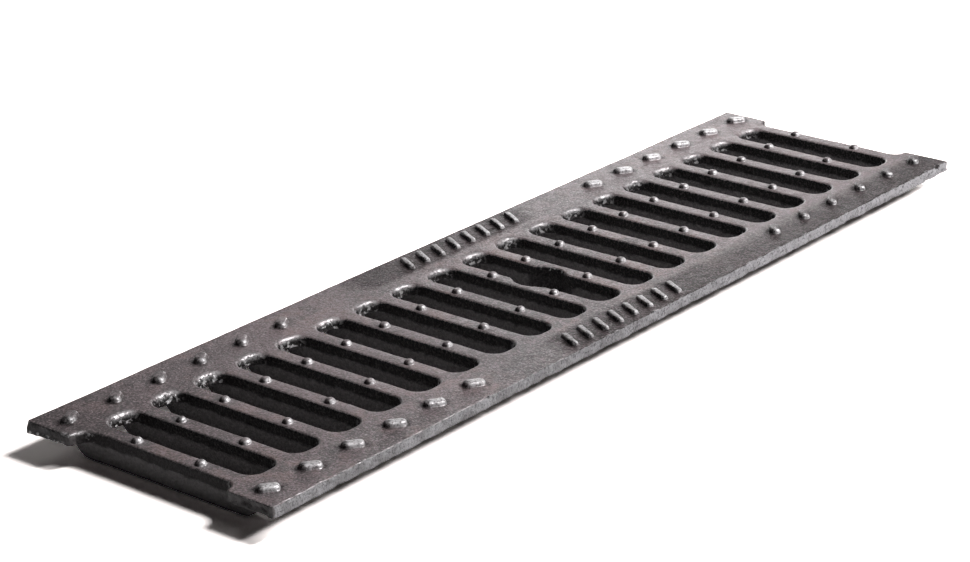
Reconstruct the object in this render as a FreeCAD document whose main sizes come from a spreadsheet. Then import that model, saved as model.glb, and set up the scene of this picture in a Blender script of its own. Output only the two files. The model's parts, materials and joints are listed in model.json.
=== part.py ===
import FreeCAD, Part
import math
import os
import Sketcher

# Channel drain grate: one sand-cast iron plate with a row of long slots.
# The plate lies level. X runs along its length, Y across it and Z up.
# The origin is under its middle, at the height of the undersides of the ribs.

# Driving dimensions: alias, size, what it is. Lengths are in millimetres, angles in degrees.
SIZES = (
    ("length", 500, "length of the plate"),
    ("width", 136, "width of the plate"),
    ("depth", 14.5, "height from the undersides of the ribs to the tread"),
    ("rim_thickness", 5, "thickness of the plate"),
    ("plan_corner", 2.5, "radius of the plate's corners, seen from above"),
    ("bar_count", 20, "number of cross bars"),
    ("bar_width", 8, "width of a bar at the tread"),
    ("end_gap", 7, "part of a slot that stays open beyond each end bar"),
    ("slot_length", 86, "length of a slot, across the plate"),
    ("slot_corner", 6.5, "radius of a slot's corners"),
    ("mouth_corner", 1.5, "radius where an end gap meets the end of the plate"),
    ("rib_root", 7.2, "thickness of a rib where it leaves the plate"),
    ("rib_tip", 4.8, "thickness of a rib at its underside"),
    ("rib_length", 103, "length of a rib"),
    ("rib_end_radius", 9.4, "radius of the rounded end of a rib, seen along the plate"),
    ("lock_hole", 25, "diameter of the round hole for the lock bolt"),
    ("lock_pad_length", 36, "length of the thick stretch of rib on each side of the hole"),
    ("lock_pad_corner", 3, "radius of that stretch's corners"),
    ("tread_edge", 0.8, "width of the bevel along every edge of the tread"),
    ("bar_stud", 5.2, "width of a stud on a bar, across its corners"),
    ("bar_stud_height", 1.8, "height of a stud on a bar"),
    ("bar_stud_spacing", 36, "distance between the two studs of a bar"),
    ("rim_stud_length", 10.5, "length of an oblong stud on the rim"),
    ("rim_stud_width", 5.2, "width of an oblong stud"),
    ("rim_stud_height", 2, "height of an oblong stud"),
    ("rim_stud_run", 6, "oblong studs in a row, one for each bar from the end bar inwards"),
    ("rim_stud_inset", 12, "distance from the side of the plate to the middle of an oblong stud"),
    ("rim_stud_turn", -45, "turn of the oblong studs in the first row, from the X axis"),
    ("stud_draft", 24, "slope of the sides of all that stands on the tread"),
    ("cleat_count", 8, "slanted cleats in a row, on the middle of each rim"),
    ("cleat_spacing", 11, "distance from one cleat to the next"),
    ("cleat_length", 12.5, "length of a cleat"),
    ("cleat_width", 3.4, "width of a cleat"),
    ("cleat_height", 1.5, "height of a cleat"),
    ("cleat_start", -52, "place along the plate of the first cleat"),
    ("cleat_inset", 10, "distance from the side of the plate to the middle of a cleat"),
    ("cleat_turn", 62, "turn of a cleat from the X axis"),
)

# Sizes that follow from the driving dimensions.
PITCH = "((Sizes.length - 2 * Sizes.end_gap - Sizes.bar_width) / (Sizes.bar_count - 1))"
FIRST_BAR = "(Sizes.bar_width / 2 + Sizes.end_gap - Sizes.length / 2)"
SLOT_WIDTH = "(%s - Sizes.bar_width)" % PITCH
RIB_HEIGHT = "(Sizes.depth - Sizes.rim_thickness)"
# The lock hole sits in the middle slot, or beside the middle bar where the bars are odd in number.
LOCK_X = "(mod(Sizes.bar_count; 2) * %s / 2)" % PITCH
STUD_ROW = "(Sizes.rim_stud_inset - Sizes.width / 2)"
CLEAT_ROW = "(Sizes.cleat_inset - Sizes.width / 2)"

ORIGIN_POINT = (-1, 1)
H_AXIS = -1
V_AXIS = -2
START, END, CENTRE = 1, 2, 3
TOLERANCE = 0.001

doc = FreeCAD.newDocument("ChannelDrainGrate")

sheet = doc.addObject("Spreadsheet::Sheet", "Sizes")
for row, (alias, size, meaning) in enumerate(SIZES, start=1):
    sheet.set("A%d" % row, meaning)
    sheet.set("B%d" % row, str(size))
    sheet.setAlias("B%d" % row, alias)
doc.recompute()

grate = doc.addObject("PartDesign::Body", "grate")
grate.Label = "grate"
tread = doc.addObject("PartDesign::Body", "tread")
tread.Label = "raised pieces of the tread"
tread.AllowCompound = True


def value(expression):
    """What an expression of the sizes comes to, as a plain number."""
    return float(grate.evalExpression(expression))


def origin_part(body, role):
    """The plane or axis of a body's own origin that has this role."""
    return next(part for part in body.Origin.OriginFeatures if part.Role == role)


def new_sketch(body, name, plane, turn="", **offsets):
    """A sketch on an origin plane, moved along its own x, y and z and turned about z by expressions."""
    sketch = body.newObject("Sketcher::SketchObject", name)
    sketch.AttachmentSupport = (origin_part(body, plane), "")
    sketch.MapMode = "FlatFace"
    for axis, expression in offsets.items():
        sketch.setExpression("AttachmentOffset.Base.%s" % axis, expression)
    if turn:
        sketch.setExpression("AttachmentOffset.Rotation.Angle", turn)
    return sketch


def line(sketch, start, end):
    """Adds a straight line between two points of the sketch."""
    return sketch.addGeometry(Part.LineSegment(FreeCAD.Vector(*start, 0), FreeCAD.Vector(*end, 0)))


def arc(sketch, centre, radius, first, last):
    """Adds an arc that runs anticlockwise from one angle to the other, in degrees."""
    circle = Part.Circle(FreeCAD.Vector(*centre, 0), FreeCAD.Vector(0, 0, 1), radius)
    return sketch.addGeometry(Part.ArcOfCircle(circle, math.radians(first), math.radians(last)))


def tie(sketch, kind, *places):
    """Adds a constraint that has no size."""
    sketch.addConstraint(Sketcher.Constraint(kind, *places))


def closed_outline(sketch, points):
    """Adds straight lines from each point to the next and back to the first, joined at their ends."""
    lines = [line(sketch, start, end) for start, end in zip(points, points[1:] + points[:1])]
    for first, second in zip(lines, lines[1:] + lines[:1]):
        tie(sketch, "Coincident", first, END, second, START)
    return lines


def dimension(sketch, kind, places, expression):
    """Adds a constraint whose size is an expression."""
    index = sketch.addConstraint(Sketcher.Constraint(kind, *places, value(expression)))
    sketch.setExpression("Constraints[%d]" % index, expression)


def rounded_rectangle(sketch, wide, tall, radius):
    """Four sides and four tangent corners round the sketch's origin, sized by expressions."""
    x, y, r = value(wide) / 2, value(tall) / 2, value(radius)
    sides = (
        line(sketch, (r - x, -y), (x - r, -y)),
        line(sketch, (x, r - y), (x, y - r)),
        line(sketch, (x - r, y), (r - x, y)),
        line(sketch, (-x, y - r), (-x, r - y)),
    )
    corners = (
        arc(sketch, (x - r, r - y), r, 270, 360),
        arc(sketch, (x - r, y - r), r, 0, 90),
        arc(sketch, (r - x, y - r), r, 90, 180),
        arc(sketch, (r - x, r - y), r, 180, 270),
    )
    for index, corner in enumerate(corners):
        tie(sketch, "Tangent", sides[index], END, corner, START)
        tie(sketch, "Tangent", corner, END, sides[(index + 1) % 4], START)
        if index:
            tie(sketch, "Equal", corners[0], corner)
    bottom, right, top, left = sides
    tie(sketch, "Horizontal", bottom)
    tie(sketch, "Horizontal", top)
    tie(sketch, "Vertical", right)
    tie(sketch, "Vertical", left)
    tie(sketch, "Symmetric", left, START, right, START, *ORIGIN_POINT)
    dimension(sketch, "Radius", (corners[0],), radius)
    dimension(sketch, "DistanceX", (left, START, right, END), wide)
    dimension(sketch, "DistanceY", (bottom, END, top, START), tall)


def rectangle(sketch, wide, tall):
    """Four sides round the sketch's origin, sized by expressions."""
    x, y = value(wide) / 2, value(tall) / 2
    outline = ((-x, -y), (x, -y), (x, y), (-x, y))
    bottom, right, top, left = closed_outline(sketch, outline)
    tie(sketch, "Horizontal", bottom)
    tie(sketch, "Horizontal", top)
    tie(sketch, "Vertical", right)
    tie(sketch, "Vertical", left)
    tie(sketch, "Symmetric", bottom, START, top, START, *ORIGIN_POINT)
    dimension(sketch, "DistanceX", (bottom, START, bottom, END), wide)
    dimension(sketch, "DistanceY", (right, START, right, END), tall)


def circle(sketch, diameter, guide=False):
    """A circle round the sketch's origin; a guide is a circle that only carries other points."""
    ring = Part.Circle(FreeCAD.Vector(), FreeCAD.Vector(0, 0, 1), value(diameter) / 2)
    ring = sketch.addGeometry(ring, guide)
    tie(sketch, "Coincident", ring, CENTRE, *ORIGIN_POINT)
    dimension(sketch, "Diameter", (ring,), diameter)
    return ring


def octagon(sketch, across):
    """Eight equal sides round the sketch's origin, sized across the corners."""
    r = value(across) / 2
    angles = [math.radians(22.5 + 45 * k) for k in range(8)]
    sides = closed_outline(sketch, [(r * math.cos(a), r * math.sin(a)) for a in angles])
    ring = circle(sketch, across, guide=True)
    for side in sides:
        tie(sketch, "PointOnObject", side, START, ring)
    for side in sides[1:]:
        tie(sketch, "Equal", sides[0], side)
    tie(sketch, "Horizontal", sides[1])


def settle(body, made, before, change):
    """Makes a new feature the body's last and checks that it adds (1) or cuts away (-1) material."""
    body.Tip = made
    doc.recompute()
    if (made.Shape.Volume - before) * change <= 0:
        raise RuntimeError("%s changes nothing, or the wrong way" % made.Name)
    return made


def feature(body, kind, name, change, **values):
    """Adds a feature to the body. Text that names a size is an expression."""
    before = body.Shape.Volume if body.Tip else 0
    made = body.newObject("PartDesign::" + kind, name)
    for key, setting in values.items():
        if isinstance(setting, str) and "Sizes." in setting:
            made.setExpression(key, setting)
        else:
            setattr(made, key, setting)
    return settle(body, made, before, change)


def row_of(source, name, change, count, spacing):
    """Repeats a feature of the grate along the plate."""
    return feature(grate, "LinearPattern", name, change, Originals=[source], Mode="Spacing",
                   Direction=(origin_part(grate, "X_Axis"), [""]), Occurrences=count, Offset=spacing)


def dress_edges(kind, name, base, chosen, measure, size):
    """Rounds or bevels the edges that the test picks out."""
    edges = ["Edge%d" % number for number, edge in enumerate(base.Shape.Edges, start=1) if chosen(edge.BoundBox)]
    return feature(grate, kind, name, -1, Base=(base, edges), **{measure: size})


# The plate.
sketch = new_sketch(grate, "PlateOutline", "XY_Plane", z=RIB_HEIGHT)
rounded_rectangle(sketch, "Sizes.length", "Sizes.width", "Sizes.plan_corner")
feature(grate, "Pad", "Plate", 1, Profile=sketch, Length="Sizes.rim_thickness")

# The slots. The row runs one slot past each end bar, so each end of the plate keeps an open part of one.
sketch = new_sketch(grate, "SlotOutline", "XY_Plane", x="%s - %s / 2" % (FIRST_BAR, PITCH), z="Sizes.depth")
rounded_rectangle(sketch, SLOT_WIDTH, "Sizes.slot_length", "Sizes.slot_corner")
slot = feature(grate, "Pocket", "Slot", -1, Profile=sketch, Type="ThroughAll")
slots = row_of(slot, "Slots", -1, "Sizes.bar_count + 1", PITCH)


plate_end = value("Sizes.length / 2") - TOLERANCE
slot_end = value("Sizes.slot_length / 2") + TOLERANCE


def at_mouth(box):
    """Upright edges where an end gap opens at the end of the plate."""
    upright = box.XLength < TOLERANCE and box.YLength < TOLERANCE
    return upright and abs(box.Center.x) > plate_end and abs(box.Center.y) < slot_end


dress_edges("Fillet", "MouthCorners", slots, at_mouth, "Radius", "Sizes.mouth_corner")

# The ribs, one under each bar, thinner towards the underside.
sketch = new_sketch(grate, "RibSection", "XZ_Plane", x=FIRST_BAR)
tip, root, height = value("Sizes.rib_tip / 2"), value("Sizes.rib_root / 2"), value(RIB_HEIGHT)
outline = ((-tip, 0), (tip, 0), (root, height), (-root, height))
under, right, top, left = closed_outline(sketch, outline)
tie(sketch, "Symmetric", under, START, under, END, V_AXIS)
tie(sketch, "Symmetric", top, START, top, END, V_AXIS)
tie(sketch, "PointOnObject", under, START, H_AXIS)
dimension(sketch, "DistanceX", (under, START, under, END), "Sizes.rib_tip")
dimension(sketch, "DistanceX", (top, END, top, START), "Sizes.rib_root")
dimension(sketch, "DistanceY", (right, START, right, END), RIB_HEIGHT)
rib = feature(grate, "Pad", "Rib", 1, Profile=sketch, SideType="Symmetric", Length="Sizes.rib_length")
row_of(rib, "Ribs", 1, "Sizes.bar_count", PITCH)

# The ends of the ribs are rounded from below, so that they clear the sides of the channel.
sketch = new_sketch(grate, "RibEnd", "YZ_Plane")
half, r = value("Sizes.rib_length / 2"), value("Sizes.rib_end_radius")
base = line(sketch, (half - r, 0), (half, 0))
side = line(sketch, (half, 0), (half, r))
curve = arc(sketch, (half - r, r), r, 270, 360)
tie(sketch, "Coincident", base, END, side, START)
tie(sketch, "Tangent", base, START, curve, START)
tie(sketch, "Tangent", side, END, curve, END)
tie(sketch, "PointOnObject", base, START, H_AXIS)
tie(sketch, "Horizontal", base)
tie(sketch, "Vertical", side)
dimension(sketch, "Radius", (curve,), "min(Sizes.rib_end_radius; %s)" % RIB_HEIGHT)
dimension(sketch, "DistanceX", (*ORIGIN_POINT, side, START), "Sizes.rib_length / 2")
rib_end = feature(grate, "Pocket", "RibEnds", -1, Profile=sketch, Type="ThroughAll", SideType="Symmetric")
feature(grate, "Mirrored", "RibEndsBothSides", -1, Originals=[rib_end],
        MirrorPlane=(origin_part(grate, "XZ_Plane"), [""]))

# The two ribs at the lock hole are as thick as their bars there.
sketch = new_sketch(grate, "LockPadOutline", "XY_Plane", x="%s - %s / 2" % (LOCK_X, PITCH))
rounded_rectangle(sketch, "Sizes.bar_width", "Sizes.lock_pad_length", "Sizes.lock_pad_corner")
pad = feature(grate, "Pad", "LockPad", 1, Profile=sketch, Length=RIB_HEIGHT)
row_of(pad, "LockPads", 1, 2, PITCH)

# The hole for the lock bolt, wider than its slot, cut out of the bars on both sides.
sketch = new_sketch(grate, "LockHoleOutline", "XY_Plane", x=LOCK_X, z="Sizes.depth")
circle(sketch, "Sizes.lock_hole")
lock_hole = feature(grate, "Pocket", "LockHole", -1, Profile=sketch, Type="ThroughAll")


tread_level = value("Sizes.depth") - TOLERANCE


def on_tread(box):
    """Edges in the plane of the tread."""
    return box.ZMin > tread_level


dress_edges("Chamfer", "TreadEdges", lock_hole, on_tread, "Size", "Sizes.tread_edge")

both_sides = ("Mirrored", {"MirrorPlane": (origin_part(tread, "XZ_Plane"), [""])})
both_ends = ("Mirrored", {"MirrorPlane": (origin_part(tread, "YZ_Plane"), [""])})
half_turn = ("PolarPattern", {"Axis": (origin_part(tread, "Z_Axis"), [""]), "Mode": "Spacing",
                              "Offset": 180, "Occurrences": 2})


def raised(name, shape, spans, height, x, y, turn=""):
    """One raised piece on the tread, with sloping sides."""
    sketch = new_sketch(tread, name + "Outline", "XY_Plane", turn=turn, x=x, y=y, z="Sizes.depth")
    shape(sketch, *spans)
    return feature(tread, "Pad", name, 1, Profile=sketch, Length=height, TaperAngle="-Sizes.stud_draft")


def repeated(source, name, count, spacing, *copies):
    """Repeats a raised piece along the plate, then that row in each of the ways given."""
    along = tread.newObject("PartDesign::LinearPattern", name + "Row")
    along.Direction = (origin_part(tread, "X_Axis"), [""])
    along.Mode = "Spacing"
    along.setExpression("Occurrences", count)
    along.setExpression("Offset", spacing)
    steps = [along]
    for kind, values in copies:
        step = tread.newObject("PartDesign::" + kind, "%sCopy%d" % (name, len(steps)))
        for key, setting in values.items():
            setattr(step, key, setting)
        steps.append(step)
    several = tread.newObject("PartDesign::MultiTransform", name)
    several.Originals = [source]
    several.Transformations = steps
    return settle(tread, several, source.Shape.Volume, 1)


# Small studs, two on each bar.
stud = raised("BarStud", octagon, ("Sizes.bar_stud",), "Sizes.bar_stud_height", FIRST_BAR,
              "-Sizes.bar_stud_spacing / 2")
repeated(stud, "BarStuds", "Sizes.bar_count", PITCH, both_sides)

# Oblong studs on the rims, turned so that the rows of the two rims point towards the end of the plate.
stud = raised("RimStud", rectangle, ("Sizes.rim_stud_length", "Sizes.rim_stud_width"), "Sizes.rim_stud_height",
              FIRST_BAR, STUD_ROW, "Sizes.rim_stud_turn")
repeated(stud, "RimStuds", "Sizes.rim_stud_run", PITCH, both_sides, both_ends)

# Slanted cleats on the middle of each rim, the same from either end of the plate.
cleat = raised("Cleat", rectangle, ("Sizes.cleat_length", "Sizes.cleat_width"), "Sizes.cleat_height",
               "Sizes.cleat_start", CLEAT_ROW, "Sizes.cleat_turn")
repeated(cleat, "Cleats", "Sizes.cleat_count", "Sizes.cleat_spacing", half_turn)

# Everything comes out of one mould, so the raised pieces and the plate are one solid.
casting = grate.newObject("PartDesign::Boolean", "Casting")
casting.Type = "Fuse"
before = grate.Shape.Volume
casting.setObjects([tread])
settle(grate, casting, before, 1)

# Nothing is written unless the whole document and the solid are sound.
faulty = [item.Label for item in doc.Objects if "Invalid" in item.State or "Error" in item.State]
if faulty:
    raise RuntimeError("failed: " + ", ".join(faulty))
if grate.Shape.isNull() or not grate.Shape.isValid() or len(grate.Shape.Solids) != 1:
    raise RuntimeError("the grate isn't one sound solid")

os.makedirs("parts", exist_ok=True)
grate.Shape.exportStep("parts/%s.step" % grate.Label)
print("%s: %.0f mm3, %d faces" % (grate.Label, grate.Shape.Volume, len(grate.Shape.Faces)))
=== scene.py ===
import json
import math
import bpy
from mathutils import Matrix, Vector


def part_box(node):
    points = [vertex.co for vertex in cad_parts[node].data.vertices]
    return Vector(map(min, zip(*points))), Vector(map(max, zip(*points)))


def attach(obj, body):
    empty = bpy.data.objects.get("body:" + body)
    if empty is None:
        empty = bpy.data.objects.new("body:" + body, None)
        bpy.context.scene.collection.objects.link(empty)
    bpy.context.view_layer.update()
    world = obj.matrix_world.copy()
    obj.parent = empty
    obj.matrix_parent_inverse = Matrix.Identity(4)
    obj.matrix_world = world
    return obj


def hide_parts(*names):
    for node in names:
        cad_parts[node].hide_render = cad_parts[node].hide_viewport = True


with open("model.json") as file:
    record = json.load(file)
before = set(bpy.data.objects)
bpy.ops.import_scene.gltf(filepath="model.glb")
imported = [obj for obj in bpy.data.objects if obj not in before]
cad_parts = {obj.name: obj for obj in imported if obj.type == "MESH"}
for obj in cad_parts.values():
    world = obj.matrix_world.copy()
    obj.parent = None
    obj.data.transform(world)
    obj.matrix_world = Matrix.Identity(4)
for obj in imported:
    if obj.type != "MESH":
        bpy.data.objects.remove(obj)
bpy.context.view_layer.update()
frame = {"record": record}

from types import SimpleNamespace

import bmesh
import bpy
import numpy as np
from mathutils import Matrix, Vector, geometry, kdtree, noise

# A channel drain grate: the surface of its casting, and the studio that it was photographed in.
# The casting is worked out in millimetres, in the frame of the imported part, and turned into metres at the
# end. X runs along the plate, and its near end, towards the camera, is the one at -X. Y runs across it, and
# the near rim is the one at -Y. The tread is the top of the plate.
MM = 0.001
MOUNTS = {mount["name"]: mount for mount in frame["record"]["mounts"]}
LOW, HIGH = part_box("grate")
HALF_LENGTH = (HIGH[0] - LOW[0]) / 2 / MM
HALF_WIDTH = (HIGH[1] - LOW[1]) / 2 / MM
RIM_STUD_HEIGHT = 2.0
TREAD = HIGH[2] / MM - RIM_STUD_HEIGHT
UNDERSIDE = MOUNTS["rim_seat_low_y"]["pos_m"][2] / MM
LOCK_RADIUS = MOUNTS["lock_hole"]["dims"]["r_mm"]

# Sizes of the casting, as in the part. The size of a cleat or an oblong stud is half its length, half its
# width and its corner, seen from above.
BAR_COUNT = 20
HALF_BAR = 4.0
END_GAP = 7.0
HALF_SLOT_LENGTH = 43.0
SLOT_CORNER = 6.5
MOUTH_CORNER = 1.5
PITCH = 2 * (HALF_LENGTH - END_GAP - HALF_BAR) / (BAR_COUNT - 1)
HALF_SLOT = PITCH / 2 - HALF_BAR
HALF_RIB_ROOT = 3.6
HALF_RIB_TIP = 2.4
HALF_RIB_LENGTH = 51.5
RIB_END_RADIUS = 9.4
HALF_LOCK_PAD = 18.0
LOCK_PAD_CORNER = 3.0
HALF_STUD_SPACING = 18.0
RIM_STUD_RUN = 6
CLEAT_SIZE = (6.25, 1.7, 0.8)
CLEAT_HEIGHT = 1.5
CLEAT_ROW = 58.0
CLEAT_COUNT = 8
CLEAT_SPACING = 11.0
CLEAT_START = -52.0
CLEAT_TURN = math.radians(62)

# Sizes that are a little off the part's, after the photograph. NEAR_CORNER is that of the near end at -Y.
PLAN_CORNER = 1.4
NEAR_CORNER = 0.6
SLOT_END_SHIFT = 1.5
BAR_STUD_RADIUS = 2.65
BAR_STUD_SHIFT = 0.8
RIM_STUD_SIZE = (5.1, 2.8, 2.3)
RIM_STUD_ROW = 55.2
RIM_STUD_SHIFT = 0.6
FAR_ROW_SHIFT = 1.5
RIM_STUD_TURN = math.radians(35)

# Radii of the edges of the tread.
SIDE_EDGE = 0.6
END_EDGE = 1.35
SHARP_EDGE = 0.4
MOUTH_WEAR = 1.0
SLOT_EDGE = 1.15
SLOT_END_WEAR = 1.8
LARGEST_EDGE = 2.95

# How far the flash of the mould's joint stands out, low on the walls.
SIDE_FLASH = 0.15
EAR_FLASH = 0.5
SLOT_FLASH = 0.25
SLOT_END_FLASH = 0.45
# Rings of a wall below its edge: depth as a share of the plate's thickness, and share of its flash.
WALL_RINGS = ((0.62, 0.0), (0.76, 0.15), (0.88, 1.0), (0.97, 0.75))
# Bare iron on the first rings from the tread, for the mouth of the near end gap, the sides and the slots. At
# the mouth and at the slots' ends it is also a painted highlight.
MOUTH_BARE_AND_HIGHLIGHT = (0.0, 0.3, 0.5, 0.4)
SIDE_BARE = (0.0, 0.2, 0.45, 0.3)
SLOT_BARE_AND_HIGHLIGHT = (0.0, 0.3, 0.5, 0.45, 0.2)

# The studs are rubbed bare, with a painted highlight, on the side where the key light's highlight falls, and
# black painted shade lies on the side away from the light. The ways are degrees from +X, seen from above. On
# the rims they turn a little from one end of the plate to the other.
RUBBED_AND_LIT_WAY = 254
DOME_RUBBED_AND_LIT_WAY = RUBBED_AND_LIT_WAY + 26
SHADED_WAY = 150
RUBBED_AND_LIT_TURN = 23
SHADED_TURN = 25
# Between what shares the tops of the oblong studs and of the cleats are rubbed bare.
BROADSIDE_RUBBED = (0.75, 0.95)
END_ON_RUBBED = (0.05, 0.15)
CLEAT_RUBBED = (0.3, 0.7)
# How far the studs differ from each other, in size, place and turn.
BAR_STUD_SPREAD = 0.06
BAR_STUD_SPREAD_X = 0.2
STUD_SPREAD = 0.3
TURN_SPREAD = 0.08
# Round studs: inset and height of each ring. Then bare iron with its painted highlight, and black painted
# shade round the foot and on the side away from the light, ring by ring and last for the top.
DOME_POINTS = 16
DOME_RINGS = ((0, 0), (0.1, 0.03), (0.25, 0.35), (0.42, 0.8), (0.75, 1.25), (1.25, 1.62), (1.9, 1.82))
DOME_BARE_AND_HIGHLIGHT = (0.0, 0.3, 0.75, 0.8, 0.75, 0.55, 0.15, 0.0)
DOME_FOOT_SHADE = (0.6, 1.0, 1.0, 0.6, 0.2, 0.0, 0.0, 0.0)
DOME_SIDE_SHADE = (0.6, 0.8, 0.8, 0.8, 0.8, 0.7, 0.4, 0.0)
DOME_LEAST_BARE = 0.12
# How far the middle of a raised piece lies above its last ring.
MIDDLE_RISE = 0.03
# Oblong studs and cleats: inset and height of each ring, as shares of half the width and of the height. A
# ring on the tread round the piece comes before them.
BLOCK_RINGS = ((0.0, 0.0), (0.05, 0.3), (0.13, 0.62), (0.26, 0.86), (0.42, 0.96), (0.62, 1.0))
BLOCK_FOOT = 0.3
# Bare iron, in places a painted highlight, and black painted shade round the foot, ring by ring and last for
# the top.
BLOCK_BARE_AND_HIGHLIGHT = (0.0, 0.3, 0.9, 1.0, 1.0, 1.0, 1.0, 1.0)
BLOCK_FOOT_SHADE = (0.4, 0.7, 0.4, 0.1, 0.0, 0.0, 0.0, 0.0)

# Depths of a rib's rings under the plate, and the places of their points on its rounded end as shares of it.
RIB_DEPTHS = (0, 0.15, 2.0, 4.0, 5.8, 7.2, 8.3, 8.9, 9.25, UNDERSIDE)
RIB_END_SHARES = (0.34, 0.67, 0.9, 1.0)
RIB_END_NARROWING = 0.82
RIB_EDGE = 0.55
# How far a rib's ring stays inside the iron of the plate, beside a slot and beside the lock hole.
RIB_MARGIN = 0.1
LOCK_MARGIN = 0.25
# A larger one makes the corners sharper where the lock hole meets its slot.
LOCK_SHARPNESS = 2

# Fineness of the mesh.
EDGE_STEP = 1.5
EDGE_RINGS = 5
GRID_STEP = 2.7
UNDER_STEP = 5.0
GRID_SHAKE = 0.28
CLEARANCE = 0.55
RIB_STEP = 3.0
LOCK_RIB_STEP = 1.25

rng = np.random.default_rng(7)


def about(value, spread):
    """A value that differs a little from piece to piece."""
    return value + rng.uniform(-spread, spread)


def ripple(x, y, z, size, seed=0.0):
    """Smooth noise from -1 to 1 whose bumps are about `size` millimetres wide."""
    return noise.noise(Vector((x / size + seed, y / size - seed, z / size + 2 * seed)))


def blend(low, high, value):
    """0 below low, 1 above high and a smooth rise between."""
    share = min(1.0, max(0.0, (value - low) / (high - low)))
    return share * share * (3 - 2 * share)


def between(value, low, full_from, full_to, high):
    """1 from full_from to full_to, and 0 below low and above high."""
    return blend(low, full_from, value) * (1 - blend(full_to, high, value))


class Skin:
    """The points and faces of the casting, in millimetres, with two shares for each point: how far the coat
    is rubbed off, which on the studs, the slots' ends and the mouth of the near end gap is also a painted
    highlight, and how much black painted shade lies there."""

    def __init__(self):
        self.points = []
        self.faces = []
        self.bare_and_highlight = {}
        self.painted_shade = {}

    def add(self, x, y, z):
        self.points.append((x, y, z))
        return len(self.points) - 1

    def ring(self, outline, z):
        return [self.add(x, y, z) for x, y in outline]

    def strip(self, first, second):
        """Quads between two closed rings with as many points."""
        count = len(first)
        for k in range(count):
            after = (k + 1) % count
            self.faces.append((first[k], first[after], second[after], second[k]))

    def bands(self, rings):
        for first, second in zip(rings, rings[1:]):
            self.strip(first, second)

    def fan(self, ring, centre):
        for k in range(len(ring)):
            self.faces.append((ring[k], ring[(k + 1) % len(ring)], centre))

    def numbered(self, start, per_ring, rings):
        """The points of the first rings since start, each with the number of its ring."""
        stop = min(start + rings * per_ring, len(self.points))
        return [(point, (point - start) // per_ring) for point in range(start, stop)]


def arc(centre, radius, first, last, count=12):
    """Points on an arc, with its angles in degrees."""
    angles = np.radians(np.linspace(first, last, count))
    return [(centre[0] + radius * math.cos(a), centre[1] + radius * math.sin(a)) for a in angles]


def ring_of(radius, count, centre, turn):
    """A circle with a fixed number of points, anticlockwise."""
    angles = turn + 2 * math.pi * np.arange(count) / count
    return [(centre[0] + radius * math.cos(a), centre[1] + radius * math.sin(a)) for a in angles]


def subdivide(outline, step):
    """A closed outline with points added on its longer spans."""
    result = []
    for (x0, y0), (x1, y1) in zip(outline, outline[1:] + outline[:1]):
        span = math.hypot(x1 - x0, y1 - y0)
        if span < 1e-6:
            continue
        count = max(1, round(span / step))
        result += [(x0 + (x1 - x0) * k / count, y0 + (y1 - y0) * k / count) for k in range(count)]
    return result


def normals(outline):
    """Unit normals on the right of the way along a closed outline: outwards where it runs anticlockwise."""
    points = np.array(outline)
    way = np.roll(points, -1, axis=0) - np.roll(points, 1, axis=0)
    way /= np.hypot(way[:, 0], way[:, 1])[:, None]
    return np.stack([way[:, 1], -way[:, 0]], axis=1)


def offset(outline, outward, amounts):
    """The outline moved along its normals."""
    return [(x + n[0] * a, y + n[1] * a) for (x, y), n, a in zip(outline, outward, amounts)]


def rounded(half_x, half_y, corner, per_corner, per_x, per_y, centre=(0, 0), turn=0.0):
    """A rounded rectangle, anticlockwise, with a fixed number of points on each stretch."""
    corner = min(corner, half_x, half_y)
    inner_x, inner_y = half_x - corner, half_y - corner
    outline = []
    for quarter, (sx, sy) in enumerate(((1, -1), (1, 1), (-1, 1), (-1, -1))):
        outline += arc((sx * inner_x, sy * inner_y), corner, 90 * quarter - 90, 90 * quarter, per_corner)
        x, y = outline[-1]
        if quarter % 2 == 0:
            steps, span_x, span_y = per_y, 0.0, -sy * 2 * inner_y
        else:
            steps, span_x, span_y = per_x, -sx * 2 * inner_x, 0.0
        outline += [(x + k / steps * span_x, y + k / steps * span_y) for k in range(1, steps)]
    cos, sin = math.cos(turn), math.sin(turn)
    return [(centre[0] + cos * x - sin * y, centre[1] + sin * x + cos * y) for x, y in outline]


def plate_quarter(corner):
    """A quarter of the plate seen from above, from the middle of an end gap to the middle of a side."""
    bar_edge = HALF_LENGTH - END_GAP
    slot_centre = (bar_edge + SLOT_CORNER, HALF_SLOT_LENGTH - SLOT_CORNER)
    mouth_x = HALF_LENGTH - MOUTH_CORNER
    reach = SLOT_CORNER + MOUTH_CORNER
    mouth_y = slot_centre[1] + math.sqrt(reach ** 2 - (mouth_x - slot_centre[0]) ** 2)
    meet = math.degrees(math.atan2(mouth_y - slot_centre[1], mouth_x - slot_centre[0]))
    quarter = [(bar_edge, 0.0)]
    quarter += arc(slot_centre, SLOT_CORNER, 180, meet)
    quarter += arc((mouth_x, mouth_y), MOUTH_CORNER, meet - 180, 0, count=6)
    quarter += arc((HALF_LENGTH - corner, HALF_WIDTH - corner), corner, 0, 90, count=5)
    return quarter + [(0.0, HALF_WIDTH)]


def plate_outline():
    """The plate seen from above, anticlockwise, with an open part of a slot at each end."""
    blunt, sharp = plate_quarter(PLAN_CORNER), plate_quarter(NEAR_CORNER)
    outline = blunt + [(-x, y) for x, y in reversed(blunt)]
    outline += [(-x, -y) for x, y in sharp] + [(x, -y) for x, y in reversed(blunt)]
    return outline


def lock_edge(y):
    """Half the width of the middle slot at y: the lock hole widens it, with soft corners."""
    if abs(y) >= LOCK_RADIUS:
        return HALF_SLOT
    round_edge = math.sqrt(LOCK_RADIUS ** 2 - y * y)
    both = math.exp(LOCK_SHARPNESS * HALF_SLOT) + math.exp(LOCK_SHARPNESS * round_edge)
    return math.log(both) / LOCK_SHARPNESS


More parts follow.
